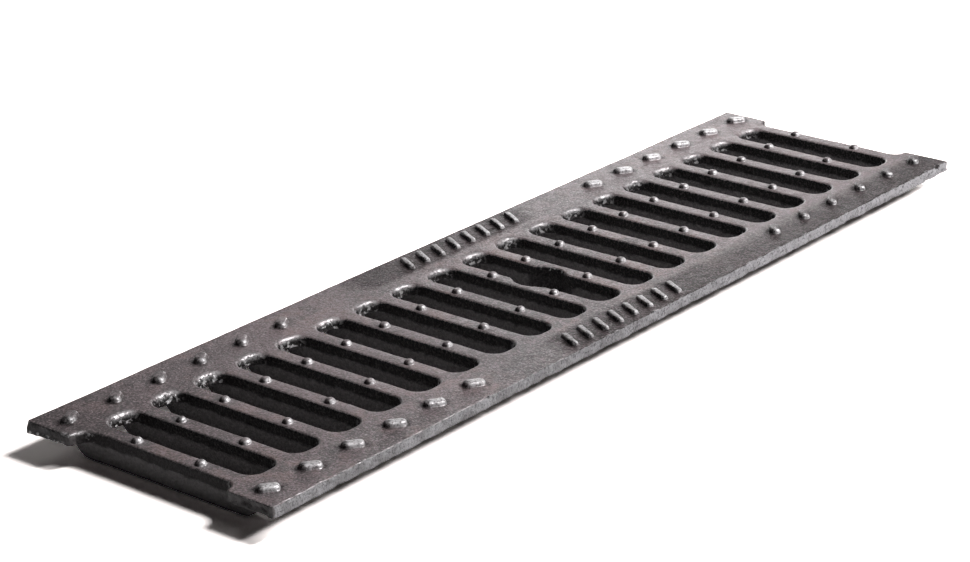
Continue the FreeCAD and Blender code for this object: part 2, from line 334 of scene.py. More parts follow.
def ragged_lock(x, y):
    """How far the wall of the lock hole is eaten away, on the side of x."""
    bites = max(0.0, ripple(math.copysign(3, x), y, 0, 3.4, 8.1))
    nicks = ripple(math.copysign(9, x), y, 0, 2.2, 3.3)
    return (1.3 * bites + 0.5 * nicks) * (1 - blend(LOCK_RADIUS - 3.5, LOCK_RADIUS - 1, abs(y)))


def slot_outline(index):
    """A slot seen from above, anticlockwise. The slots are numbered from the middle one, which is 0."""
    outline = rounded(HALF_SLOT, HALF_SLOT_LENGTH, SLOT_CORNER, per_corner=12, per_x=4, per_y=60)
    if index == 0:
        outline = [(math.copysign(lock_edge(y) + ragged_lock(x, y), x) if abs(y) < LOCK_RADIUS else x, y)
                   for x, y in outline]
    return [(index * PITCH + x, y - SLOT_END_SHIFT * blend(25, 40, y)) for x, y in outline]


def edge_rings(skin, outline, into_iron, radii, flashes):
    """Rings from the tread, over a rounded edge and down a wall to the underside of the plate. Returns the
    first and the last."""
    rings = []
    for k in range(EDGE_RINGS + 1):
        angle = math.pi / 2 * k / EDGE_RINGS
        spread = [r * (1 - math.sin(angle)) for r in radii]
        drop = [r * (1 - math.cos(angle)) for r in radii]
        moved = offset(outline, into_iron, spread)
        rings.append([skin.add(x, y, TREAD - d) for (x, y), d in zip(moved, drop)])
    height = TREAD - UNDERSIDE
    for depth_share, flash_share in WALL_RINGS:
        moved = offset(outline, into_iron, [-flash * flash_share for flash in flashes])
        rings.append(skin.ring(moved, TREAD - depth_share * height))
    rings.append(skin.ring(outline, UNDERSIDE))
    skin.bands(rings)
    return rings[0], rings[-1]


def inside(points, loop):
    """Which of the points lie inside a closed loop."""
    result = np.zeros(len(points), bool)
    loop = np.array(loop)
    low, high = loop.min(axis=0), loop.max(axis=0)
    close = np.all((points > low) & (points < high), axis=1)
    if not close.any():
        return result
    px, py = points[close, 0][:, None], points[close, 1][:, None]
    x0, y0 = loop[:, 0], loop[:, 1]
    x1, y1 = np.roll(x0, -1), np.roll(y0, -1)
    crosses = (y0 > py) != (y1 > py)
    with np.errstate(divide="ignore", invalid="ignore"):
        cut = x0 + (py - y0) * (x1 - x0) / (y1 - y0)
    result[close] = (np.sum(crosses & (px < cut), axis=1) % 2) == 1
    return result


def fill(skin, outer, holes, level, step):
    """Triangles in one level plane, between the outer loop and the holes."""
    loops = [outer] + holes
    ids = [point for loop in loops for point in loop]
    coords = [skin.points[point][:2] for point in ids]
    edges = []
    start = 0
    for loop in loops:
        count = len(loop)
        edges += [(start + k, start + (k + 1) % count) for k in range(count)]
        start += count
    flat = [[skin.points[point][:2] for point in loop] for loop in loops]

    def in_iron(points):
        result = inside(points, flat[0])
        for loop in flat[1:]:
            result &= ~inside(points, loop)
        return result

    tree = kdtree.KDTree(len(coords))
    for k, (x, y) in enumerate(coords):
        tree.insert((x, y, 0), k)
    tree.balance()
    xs = np.arange(-HALF_LENGTH, HALF_LENGTH, step)
    ys = np.arange(-HALF_WIDTH, HALF_WIDTH, step)
    grid = np.stack(np.meshgrid(xs, ys), axis=-1).reshape(-1, 2)
    grid += rng.uniform(-GRID_SHAKE, GRID_SHAKE, grid.shape) * step
    grid = grid[in_iron(grid)]
    for x, y in grid:
        if tree.find((x, y, 0))[2] > CLEARANCE * step:
            ids.append(skin.add(x, y, level))
            coords.append((x, y))
    out = geometry.delaunay_2d_cdt([Vector(c) for c in coords], edges, [], 0, 1e-5, True)
    verts, triangles, origins = out[0], out[2], out[3]
    here = [ids[origin[0]] if origin else skin.add(v.x, v.y, level) for v, origin in zip(verts, origins)]
    middles = [[sum(verts[k].x for k in t) / 3, sum(verts[k].y for k in t) / 3] for t in triangles]
    for triangle, keep in zip(triangles, in_iron(np.array(middles))):
        if keep:
            skin.faces.append(tuple(here[k] for k in triangle))


def raised(skin, outline_at, levels, centre):
    """A raised piece on the tread, given as the inset and height of each ring. Returns its foot."""
    rings = [skin.ring(outline_at(inset), TREAD + height) for inset, height in levels]
    skin.bands(rings)
    skin.fan(rings[-1], skin.add(*centre, TREAD + levels[-1][1] + MIDDLE_RISE))
    return rings[0]


def towards(point, centre, degrees):
    """How far a point lies from a centre in a direction seen from above, in millimetres."""
    way = math.radians(degrees)
    return (point[0] - centre[0]) * math.cos(way) + (point[1] - centre[1]) * math.sin(way)


def dome(skin, radius, centre, turn):
    """A round stud, rubbed down to the iron with a painted highlight on one side, and with black painted
    shade on the other side and round its foot. Returns its foot.
    """
    start = len(skin.points)
    foot = raised(skin, lambda inset: ring_of(radius - inset, DOME_POINTS, centre, turn), DOME_RINGS, centre)
    for point, level in skin.numbered(start, DOME_POINTS, len(DOME_BARE_AND_HIGHLIGHT)):
        spot = blend(0.4, 1.5, towards(skin.points[point], centre, DOME_RUBBED_AND_LIT_WAY))
        dirty = blend(0.2, 1.2, towards(skin.points[point], centre, SHADED_WAY))
        skin.bare_and_highlight[point] = DOME_LEAST_BARE + DOME_BARE_AND_HIGHLIGHT[level] * spot
        skin.painted_shade[point] = max(DOME_FOOT_SHADE[level] * (1 - 0.9 * spot), DOME_SIDE_SHADE[level] * dirty)
    return foot


def block(skin, size, height, centre, turn, rubbed):
    """An oblong raised piece with a flat top. One that lies broadside to the feet is rubbed down to the iron
    all over its top, by the share `rubbed`, with black painted shade at one end; the others are rubbed down
    at one end, as a painted highlight. Painted shade also lies round the foot and on the side away from the
    light. Returns its foot."""
    half_x, half_y, corner = size
    levels = [(-BLOCK_FOOT, 0.0)] + [(half_y * inset, height * rise) for inset, rise in BLOCK_RINGS]

    def outline_at(inset):
        small = max(corner - 0.6 * inset, 0.2)
        return rounded(half_x - inset, half_y - inset, small, per_corner=4, per_x=8, per_y=2, centre=centre,
                       turn=turn)

    end_way = math.degrees(turn) + 180
    broadside = abs(math.cos(math.radians(end_way - SHADED_WAY))) > 0.8
    far = blend(-100, 100, centre[0])
    rubbed_and_lit_way = RUBBED_AND_LIT_WAY - RUBBED_AND_LIT_TURN * far
    dirty_way = SHADED_WAY if broadside else SHADED_WAY + SHADED_TURN * (1 - far)

    def share_of_reach(place, way):
        reach = (half_x - half_y) * abs(math.cos(math.radians(end_way - way))) + half_y
        return towards(place, centre, way) / reach

    start = len(skin.points)
    foot = raised(skin, outline_at, levels, centre)
    for point, level in skin.numbered(start, len(foot), len(BLOCK_BARE_AND_HIGHLIGHT)):
        place = skin.points[point]
        spot = blend(0.45, 0.8, share_of_reach(place, rubbed_and_lit_way))
        dirty = blend(0.43, 0.62, share_of_reach(place, dirty_way))
        foot_dirt = BLOCK_FOOT_SHADE[level] * (1 - 0.8 * spot)
        share, shaded_end = max(rubbed, 0.85 * spot), 0.0
        if broadside:
            share, shaded_end = rubbed, blend(0.84 * half_x, 0.95 * half_x, -towards(place, centre, end_way))
        skin.bare_and_highlight[point] = BLOCK_BARE_AND_HIGHLIGHT[level] * share
        skin.painted_shade[point] = max(foot_dirt, dirty, 0.9 * shaded_end)
    return foot


def beside_lock(y, lock_side, side, edge):
    """The two faces of a rib where it is thicker beside the lock hole, which cuts into one of them."""
    over = max(0.0, abs(y) - (HALF_LOCK_PAD - LOCK_PAD_CORNER))
    pad = HALF_BAR - RIB_MARGIN - edge - LOCK_PAD_CORNER + math.sqrt(LOCK_PAD_CORNER ** 2 - over ** 2)
    side = max(side, pad)
    hole = PITCH / 2 - lock_edge(y) - max(0.0, ragged_lock(-lock_side, y)) - LOCK_MARGIN
    return (max(-side, -hole), side) if lock_side < 0 else (-side, min(side, hole))


def rib(skin, centre_x, lock_side):
    """A rib from the plate down to its underside, closed below. lock_side is the side that faces the lock
    hole, or 0. Returns its ring in the plate's underside."""
    # The points lie evenly up to a little before the rounded end.
    straight = HALF_RIB_LENGTH - RIB_END_RADIUS - 2
    count = int(straight / (LOCK_RIB_STEP if lock_side else RIB_STEP))
    stations = [straight * k / count for k in range(count + 1)]
    rings = []
    for depth in RIB_DEPTHS:
        z = UNDERSIDE - depth
        rise = max(0.0, RIB_END_RADIUS - z)
        reach = HALF_RIB_LENGTH - RIB_END_RADIUS + math.sqrt(max(0.0, RIB_END_RADIUS ** 2 - rise ** 2))
        edge = RIB_EDGE * blend(8.2, 9.5, depth) ** 2
        half = HALF_RIB_TIP + (HALF_RIB_ROOT - HALF_RIB_TIP) * z / UNDERSIDE - edge
        ends = [straight + (reach - straight) * share for share in RIB_END_SHARES]
        ys = stations + ends
        ys = [-y for y in reversed(ys[1:])] + ys
        right, left = [], []
        for y in ys:
            side = half * (RIB_END_NARROWING if abs(y) > ends[2] else 1.0)
            low, high = -side, side
            if lock_side and abs(y) < HALF_LOCK_PAD:
                low, high = beside_lock(y, lock_side, side, edge)
            right.append((centre_x + high, y))
            left.append((centre_x + low, y))
        rings.append(skin.ring(right + left[::-1], z))
    skin.bands(rings)
    last = rings[-1]
    for k in range(len(last) // 2 - 1):
        skin.faces.append((last[k], last[k + 1], last[-k - 2], last[-k - 1]))
    return rings[0]


def plate_edge(skin):
    """The walls round the plate. Returns their rings in the tread and in the underside."""
    outline = subdivide(plate_outline(), EDGE_STEP)
    outward = normals(outline)
    radii, flashes = [], []
    for (x, y), normal in zip(outline, outward):
        end_face = abs(x) > HALF_LENGTH - END_GAP - 0.5 and abs(normal[1]) < 0.9
        radius = END_EDGE if end_face else SIDE_EDGE
        # The near end's gap is worn where it opens, beside the long ear.
        if x < -240:
            radius += MOUTH_WEAR * between(y, 39.5, 42, 46, 50)
        if x < 1 - HALF_LENGTH and y < 2 - HALF_WIDTH:
            radius = SHARP_EDGE
        radii.append(radius * (1 + 0.25 * ripple(x, y, 0, 5, 3.1)))
        flash = EAR_FLASH if abs(x) > HALF_LENGTH - 0.5 else SIDE_FLASH
        flashes.append(flash * (0.6 + 1.2 * ripple(x, y, 5, 2.6, 9.7)))
    start = len(skin.points)
    tread_ring, under_ring = edge_rings(skin, outline, -outward, radii, flashes)
    for point, level in skin.numbered(start, len(outline), len(SIDE_BARE)):
        x, y, z = skin.points[point]
        # Bare iron at the mouth of the near end gap, which is also a painted highlight.
        if x < -241:
            skin.bare_and_highlight[point] = MOUTH_BARE_AND_HIGHLIGHT[level] * between(y, 40, 42, 46, 49)
        if abs(y) > HALF_WIDTH - 1:
            skin.bare_and_highlight[point] = SIDE_BARE[level] * blend(-0.1, 0.35, ripple(x, y, 0, 3.5, 4.4))
    return tread_ring, under_ring


def slot(skin, index):
    """The walls of a slot, rounder from wear and with more flash at its +Y end, which faces the camera. Its
    edges at both ends are rubbed down to the iron, which is also a painted highlight. Returns their rings in
    the tread and in the underside."""
    outline = subdivide(slot_outline(index), EDGE_STEP)
    radii, flashes = [], []
    for x, y in outline:
        aside = (x - index * PITCH) / HALF_SLOT
        radius = SLOT_EDGE + SLOT_END_WEAR * blend(34, 41, y) * blend(-1.0, -0.2, aside)
        radii.append(min(LARGEST_EDGE, radius * (1 + 0.2 * ripple(x, y, 0, 6, 1.3))))
        flash = SLOT_FLASH + SLOT_END_FLASH * blend(37, 41, y)
        flashes.append(flash * (0.7 + 1.3 * ripple(x, y, 3, 3.2, 5.9)))
    start = len(skin.points)
    rings = edge_rings(skin, outline, normals(outline), radii, flashes)
    # Bare iron on the edges at the slot's ends, which is also a painted highlight.
    for point, level in skin.numbered(start, len(outline), len(SLOT_BARE_AND_HIGHLIGHT)):
        x, y, z = skin.points[point]
        share = blend(37.5, 40, abs(y)) * between((x - index * PITCH) / HALF_SLOT, -0.5, 0.0, 0.8, 1.1)
        if index == 0 and x > HALF_SLOT + 1:
            # On the far wall of the lock hole.
            share = blend(-0.1, 0.3, ripple(x, y, 0, 2.4, 6.6)) * (1 - blend(3, 7, abs(y - 3)))
        skin.bare_and_highlight[point] = share * SLOT_BARE_AND_HIGHLIGHT[level]
    return rings


def rim_stud(skin, bar_x, side, end):
    """An oblong stud on the rim. side is that of the rim, and end points from its half of the plate to the
    middle."""
    turn = about(RIM_STUD_TURN * side * end, TURN_SPREAD)
    row = side * RIM_STUD_ROW + (FAR_ROW_SHIFT if side < 0 and end < 0 else 0.0)
    centre = (about(bar_x - RIM_STUD_SHIFT * end, STUD_SPREAD), about(row, STUD_SPREAD))
    rubbed = rng.uniform(*(BROADSIDE_RUBBED if side * end < 0 else END_ON_RUBBED))
    return block(skin, RIM_STUD_SIZE, RIM_STUD_HEIGHT, centre, turn, rubbed)


def build_skin():
    """The whole casting, before its surface is made uneven."""
    skin = Skin()
    tread_outer, under_outer = plate_edge(skin)
    tread_holes, under_holes = [], []
    for index in range(1 - BAR_COUNT // 2, BAR_COUNT // 2):
        top, bottom = slot(skin, index)
        tread_holes.append(top)
        under_holes.append(bottom)

    for k in range(BAR_COUNT):
        bar_x = (k - (BAR_COUNT - 1) / 2) * PITCH
        lock_side = {-1: 1, 1: -1}.get(round(2 * bar_x / PITCH), 0)
        under_holes.append(rib(skin, bar_x, lock_side))
        for side in (-1, 1):
            radius = BAR_STUD_RADIUS * about(1, BAR_STUD_SPREAD)
            row = side * HALF_STUD_SPACING - BAR_STUD_SHIFT
            centre = (about(bar_x, BAR_STUD_SPREAD_X), about(row, STUD_SPREAD))
            tread_holes.append(dome(skin, radius, centre, rng.uniform(0, 1.5)))
            if min(k, BAR_COUNT - 1 - k) < RIM_STUD_RUN:
                end = 1 if k < BAR_COUNT / 2 else -1
                tread_holes.append(rim_stud(skin, bar_x, side, end))
    for k in range(CLEAT_COUNT):
        for side in (-1, 1):
            centre = (-side * (CLEAT_START + k * CLEAT_SPACING), side * CLEAT_ROW)
            rubbed = rng.uniform(*CLEAT_RUBBED)
            tread_holes.append(block(skin, CLEAT_SIZE, CLEAT_HEIGHT, centre, CLEAT_TURN, rubbed))

    fill(skin, tread_outer, tread_holes, TREAD, GRID_STEP)
    fill(skin, under_outer, under_holes, UNDERSIDE, UNDER_STEP)
    return skin


def uneven(point):
    """How far a point of the casting lies from its ideal place, along its normal."""
    x, y, z = point
    depth = TREAD - z
    plate = TREAD - UNDERSIDE
    on_wall = blend(0.6, 2.2, depth) * (1 - 0.65 * blend(plate, plate + 1.5, depth))
    swell = 0.16 * ripple(x, y, z, 34, 0.7) + 0.07 * ripple(x, y, z, 11, 4.2)
    grain = 0.05 * ripple(x, y, z, 3.1, 2.6)
    rough = (0.22 * ripple(x, y, z, 2.6, 6.4) + 0.16 * ripple(x, y, z, 5.5, 8.8)) * on_wall
    return swell + grain + rough


def shaped(point):
    """The place of a point after the larger faults of the casting. It never lies below the floor."""
    x, y, z = point
    depth = TREAD - z
    # The ear of the near end at +Y is too long.
    if x < -238:
        x -= 2.2 * blend(30, 44, y) * blend(-238, -249, x)
        x -= 0.9 * blend(54, 66, y) * blend(1, 3, depth) * blend(-249, -251, x)
    # The faces of both near ears are broken off in facets.
    if x < 1.5 - HALF_LENGTH and abs(y) > 40:
        facet = abs(ripple(y, 0, z, 6, 14.3)) + 0.5 * ripple(y, 0, z, 2.2, 2.9)
        x += (2.0 if y < 0 else 1.2) * facet * blend(0.8, 1.8, depth) * (1 - blend(65, 67.5, abs(y)))
    # The near side is chipped along both of its edges, most of all near the far end.
    if y < 1.0 - HALF_WIDTH:
        upper = 1.7 * max(0.0, ripple(x, 0, 0, 5, 21.4) - 0.12) + 0.5 * max(0.0, ripple(x, 0, 0, 1.9, 5.2))
        upper += 1.1 * math.exp(-((x - 241) / 3.5) ** 2)
        lower = 1.2 * max(0.0, ripple(x, 0, 7, 6, 33.8)) + 0.4 * max(0.0, ripple(x, 0, 3, 2.1, 1.7))
        y += upper * (1 - blend(0.3, 1.7, depth)) + lower * blend(2.8, 4.8, depth)
        y += 0.22 * ripple(x, 0, z, 2.4, 17.2)
    return x, y, max(0.0, z)


def casting():
    """The casting as a mesh object in metres."""
    skin = build_skin()
    mesh = bpy.data.meshes.new("grate_casting")
    mesh.from_pydata(skin.points, [], skin.faces)
    work = bmesh.new()
    work.from_mesh(mesh)
    for name, shares in (("bare_and_highlight", skin.bare_and_highlight), ("painted_shade", skin.painted_shade)):
        layer = work.verts.layers.float.new(name)
        work.verts.ensure_lookup_table()
        for point, share in shares.items():
            work.verts[point][layer] = share
    bmesh.ops.dissolve_degenerate(work, dist=1e-4, edges=work.edges)
    bmesh.ops.recalc_face_normals(work, faces=work.faces)
    work.normal_update()
    moved = [shaped(vert.co + vert.normal * uneven(vert.co)) for vert in work.verts]
    for vert, place in zip(work.verts, moved):
        vert.co = Vector(place) * MM
    for face in work.faces:
        face.smooth = True
    work.to_mesh(mesh)
    work.free()
    return bpy.data.objects.new("grate_casting", mesh)


class Nodes:
    """Short ways to add shader nodes to a tree. A value is a socket or a plain number, and a colour is a
    socket or a linear red, green and blue."""

    def __init__(self, owner):
        owner.use_nodes = True
        self.tree = owner.node_tree
        self.tree.nodes.clear()

    def add(self, kind, inputs=None, **settings):
        """A node with its settings, values and links."""
        made = self.tree.nodes.new("ShaderNode" + kind)
        for key, setting in settings.items():
            setattr(made, key, setting)
        for key, given in (inputs or {}).items():
            if isinstance(given, bpy.types.NodeSocket):
                self.tree.links.new(given, made.inputs[key])
            else:
                made.inputs[key].default_value = given
        return made

    def split(self, vector):
        """The three parts of a vector."""
        return self.add("SeparateXYZ", {"Vector": vector}).outputs

    def noise(self, place, scale, detail=3.0, rough=0.55):
        inputs = {"Vector": place, "Scale": scale, "Detail": detail, "Roughness": rough}
        return self.add("TexNoise", inputs).outputs["Fac"]

    def ramp(self, source, low, high, to_low=0.0, to_high=1.0):
        """Maps a value from one range to another, smoothly and held at both ends."""
        inputs = {"Value": source, "From Min": low, "From Max": high, "To Min": to_low, "To Max": to_high}
        return self.add("MapRange", inputs, interpolation_type="SMOOTHSTEP").outputs["Result"]

    def maths(self, operation, first, second):
        return self.add("Math", {0: first, 1: second}, operation=operation).outputs[0]

    def times(self, first, *factors):
        for factor in factors:
            first = self.maths("MULTIPLY", first, factor)
        return first

    def largest(self, first, *others):
        for other in others:
            first = self.maths("MAXIMUM", first, other)
        return first

    def rest(self, value):
        """What a share leaves of 1."""
        return self.maths("SUBTRACT", 1.0, value)

    def mix(self, share, first, second):
        """Two values mixed."""
        return self.add("Mix", {0: share, 2: first, 3: second}, data_type="FLOAT").outputs[0]

    def paint(self, share, first, second):
        """Two colours mixed."""
        first, second = [(*given, 1) if isinstance(given, tuple) else given for given in (first, second)]
        return self.add("Mix", {0: share, 6: first, 7: second}, data_type="RGBA").outputs[2]

    def by_ray(self, received, mirrored, seen):
        """One of three values: for light that falls on something, for mirrored rays and for the camera's."""
        light_path = self.add("LightPath").outputs
        value = self.mix(light_path["Is Glossy Ray"], received, mirrored)
        return self.mix(light_path["Is Camera Ray"], value, seen)

    def bump(self, height, strength, distance, below=None):
        """A bump that is as high as the distance, in metres, on top of another."""
        inputs = {"Height": height, "Strength": strength, "Distance": distance}
        if below:
            inputs["Normal"] = below
        return self.add("Bump", inputs).outputs[0]


# Colours of the iron: its coat on the tread, the slots' walls, the ribs, and the bare broken faces. Some of
# them are painted light and shade, as said beside them.
COAT_DARK = (0.05, 0.039, 0.04)
COAT_LIGHT = (0.142, 0.1035, 0.109)
COAT_BROWN = (0.21, 0.142, 0.138)
COAT_STAIN = (0.04, 0.034, 0.036)
# Darker coat among the cleats, and painted shade on the near rim and at the near end.
COAT_DIRT_AND_SHADE = (0.03, 0.026, 0.026)
COAT_MOTTLE = (0.178, 0.1405, 0.148)
# Paler coat, and painted sheen towards the far end.
COAT_PALE_AND_SHEEN = (0.26, 0.208, 0.217)
GRAIN_LIGHT = (0.28, 0.2175, 0.23)
GRAIN_DARK = (0.035, 0.028, 0.027)
# Near black walls: their black coat, darkened further as painted shade.
WALL_DARK = (0.012, 0.0105, 0.0105)
WALL_LIGHT = (0.068, 0.061, 0.061)
# Painted light: the outermost wall, lighter than the walls in the slots.
OUTER_WALL_LIT = (0.085, 0.077, 0.078)
RIB_DARK = (0.145, 0.132, 0.136)
RIB_LIGHT = (0.25, 0.231, 0.237)
# Painted light: the outermost rib, lighter than the ribs in the slots.
OUTER_RIB_LIT = (0.34, 0.315, 0.32)
SIDE_DARK = (0.26, 0.244, 0.253)
SIDE_LIGHT = (0.43, 0.413, 0.43)
# Painted sheen towards the far end of the sides.
SIDE_SHEEN = (0.7, 0.672, 0.7)
SIDE_PIT = (0.05, 0.046, 0.047)
EAR_DARK = (0.052, 0.046, 0.046)
EAR_LIGHT = (0.135, 0.12, 0.122)
# Black painted shade beside and round the studs and on the rounded top edge of the ends.
BLACK_PAINTED_SHADE = (0.012, 0.01, 0.01)
# Pale bare iron, which also paints highlights on the studs, the slots' ends and the mouth of the near end
# gap, and glints on the walls.
BARE_IRON_AND_HIGHLIGHT = (0.72, 0.7, 0.71)


def surface(nodes):
    """Where the kinds of surface lie, as shares from 0 to 1, with the place and the noises that they share.
    Places and heights in the material are metres."""
    at = SimpleNamespace()
    coordinates = nodes.add("TexCoord").outputs
    at.place = coordinates["Object"]
    at.x, at.y, at.height = nodes.split(at.place)
    slope = nodes.split(coordinates["Normal"])["Z"]
    at.along = nodes.maths("ABSOLUTE", at.x, 0.0)
    at.across = nodes.maths("ABSOLUTE", at.y, 0.0)
    at.mottle = nodes.noise(at.place, 170, 3, 0.6)
    at.grain = nodes.noise(at.place, 950, 2, 0.6)

    # The tread turns into a wall along a ragged line, and a wall into a rib along a wavy one.
    ragged = nodes.maths("SUBTRACT", nodes.noise(at.place, 640, 4, 0.75), 0.5)
    ragged = nodes.maths("ADD", slope, nodes.times(ragged, 1.7))
    below = nodes.ramp(at.height, (TREAD - 0.12) * MM, (TREAD - 0.4) * MM)
    at.on_wall = nodes.times(nodes.ramp(ragged, 0.66, 0.42), below)
    wavy = nodes.times(nodes.maths("SUBTRACT", at.mottle, 0.5), 4 * MM)
    at.in_lock = nodes.times(nodes.ramp(at.across, (LOCK_RADIUS + 2) * MM, (LOCK_RADIUS - 1) * MM),
                             nodes.ramp(at.along, (LOCK_RADIUS + 4) * MM, (LOCK_RADIUS + 2) * MM))
    at.on_rib = nodes.times(nodes.ramp(nodes.maths("ADD", at.height, wavy), (UNDERSIDE + 0.6) * MM,
                                       (UNDERSIDE - 1.6) * MM),
                            nodes.rest(nodes.times(at.in_lock, 0.85)))
    at.side = nodes.ramp(at.across, (HALF_WIDTH - 1.0) * MM, (HALF_WIDTH - 0.55) * MM)
    at.end = nodes.ramp(at.along, (HALF_LENGTH - 1.6) * MM, (HALF_LENGTH - 0.6) * MM)
    at.edge = nodes.times(nodes.ramp(slope, 0.97, 0.85), nodes.ramp(slope, 0.2, 0.4))
    # Painted shade: a black band on the rounded top edge of the ends.
    at.end_edge = nodes.times(nodes.ramp(slope, 0.9, 0.7), at.end)

    # The coat is darker among the cleats. It is darker as painted shade on the near rim towards its far end,
    # where the tread shows no sheen, and at the near end, most of all towards the long ear.
    low_rim = nodes.ramp(at.y, -0.042, -0.058)
    cleats = nodes.times(nodes.ramp(at.along, 0.075, 0.05), nodes.ramp(at.across, 0.046, 0.052), 0.85)
    rim = nodes.times(low_rim, nodes.ramp(at.x, -0.08, 0.13), 0.95)
    corner = nodes.times(nodes.ramp(at.y, -0.035, 0.05), nodes.ramp(at.x, -0.2, -0.245), 0.5)
    at.dirt = nodes.largest(cleats, rim, corner)
    # The coat is a little paler on the second fifth of the length, and paler towards the far end as painted
    # sheen.
    second_fifth = nodes.times(nodes.ramp(at.x, -0.21, -0.16), nodes.ramp(at.x, -0.04, -0.09))
    paler = nodes.largest(second_fifth, nodes.ramp(at.x, 0.06, 0.14, 0.0, 1.7))
    at.paler = nodes.times(paler, nodes.rest(nodes.largest(at.dirt, low_rim)), 0.18)
    return at


def tread_colour(nodes, at):
    """The coat of the tread: large clouds and stains, darker patches, and a fine sandy grain over them; in
    places painted shade and painted sheen, and black painted shade on the rounded top edge of the ends.
    """
    cloud = nodes.ramp(nodes.noise(at.place, 16, 4, 0.6), 0.36, 0.64)
    patch = nodes.ramp(nodes.noise(at.place, 38, 4, 0.65), 0.48, 0.64)
    stain = nodes.ramp(nodes.noise(at.place, 62, 4, 0.65), 0.52, 0.4, 0.0, 0.75)
    sand = nodes.noise(at.place, 1700, 2, 0.6)
    colour = nodes.paint(cloud, COAT_DARK, COAT_LIGHT)
    for share, layer in ((nodes.times(patch, 0.9), COAT_BROWN),
                         (stain, COAT_STAIN),
                         (at.dirt, COAT_DIRT_AND_SHADE),
                         (nodes.ramp(at.mottle, 0.42, 0.64, 0.0, 0.45), COAT_MOTTLE),
                         (nodes.ramp(at.grain, 0.5, 0.66, 0.0, 0.85), GRAIN_LIGHT),
                         (nodes.ramp(at.grain, 0.47, 0.35, 0.0, 0.8), GRAIN_DARK),
                         (nodes.ramp(sand, 0.48, 0.34, 0.0, 0.6), GRAIN_DARK),
                         (nodes.times(at.dirt, 0.42), COAT_DIRT_AND_SHADE),
                         (at.paler, COAT_PALE_AND_SHEEN),
                         (at.end_edge, BLACK_PAINTED_SHADE)):
        colour = nodes.paint(share, colour, layer)
    return colour


def wall_colour(nodes, at):
    """The slots' walls, near black from their black coat and from painted shade, and the ribs, both lighter
    on the outermost faces as painted light, and the sides, lighter towards the far end as painted sheen, and
    the ears' ends.
    """
    bar_face = HALF_LENGTH - END_GAP
    # Painted light: the outermost wall and rib, out in the open at the ends, are lighter than the same faces
    # in the slots.
    outermost = nodes.ramp(at.along, (bar_face - 2.5) * MM, (bar_face - 2) * MM)
    # The walls are near black: their black coat, darkened further as painted shade.
    wall = nodes.paint(nodes.ramp(at.grain, 0.48, 0.66), WALL_DARK, WALL_LIGHT)
    wall = nodes.paint(nodes.times(outermost, 0.5), wall, OUTER_WALL_LIT)
    ribs = nodes.paint(nodes.ramp(at.grain, 0.35, 0.7), RIB_DARK, RIB_LIGHT)
    ribs = nodes.paint(nodes.times(outermost, 0.35), ribs, OUTER_RIB_LIT)
    side = nodes.paint(nodes.ramp(at.mottle, 0.36, 0.62), SIDE_DARK, SIDE_LIGHT)
    # Painted sheen: the sides grow lighter towards the far end.
    side = nodes.paint(nodes.ramp(at.x, -0.1, 0.12, 0.0, 0.55), side, SIDE_SHEEN)
    side = nodes.paint(nodes.ramp(at.grain, 0.5, 0.36, 0.0, 0.6), side, SIDE_PIT)
    ear = nodes.paint(nodes.ramp(at.mottle, 0.35, 0.65), EAR_DARK, EAR_LIGHT)
    colour = nodes.paint(at.on_rib, wall, ribs)
    colour = nodes.paint(at.side, colour, side)
    return nodes.paint(at.end, colour, ear)


def flash_specks_and_glints(nodes, at):
    """Pale specks of iron where the flash was knocked off, which are painted glints as well: on the walls at
    the slots' ends, on the far wall of the lock hole and low on the end of the long ear."""
    slot_ends = nodes.times(nodes.ramp(at.across, 0.036, 0.0405), nodes.ramp(at.across, 0.05, 0.047),
                            nodes.ramp(at.x, -0.2, 0.05, 1.0, 0.6),
                            nodes.ramp(at.along, (HALF_LENGTH - 4) * MM, (HALF_LENGTH - 7) * MM))
    far_wall = nodes.times(at.in_lock, nodes.ramp(at.x, 0.006, 0.0085), nodes.ramp(at.across, 0.008, 0.005),
                           nodes.ramp(at.height, (TREAD - 2.6) * MM, (TREAD - 1.4) * MM))
    ear = nodes.times(nodes.ramp(at.x, (0.4 - HALF_LENGTH) * MM, -HALF_LENGTH * MM),
                      nodes.ramp(at.height, (UNDERSIDE + 1.9) * MM, (UNDERSIDE + 0.9) * MM),
                      nodes.ramp(at.y, 0.044, 0.05))
    specks = nodes.ramp(nodes.noise(at.place, 480, 2, 0.5), 0.54, 0.61)
    in_plate = nodes.ramp(at.height, (UNDERSIDE - 0.5) * MM, (UNDERSIDE + 0.5) * MM)
    return nodes.times(specks, at.on_wall, in_plate, nodes.largest(slot_ends, far_wall, ear))


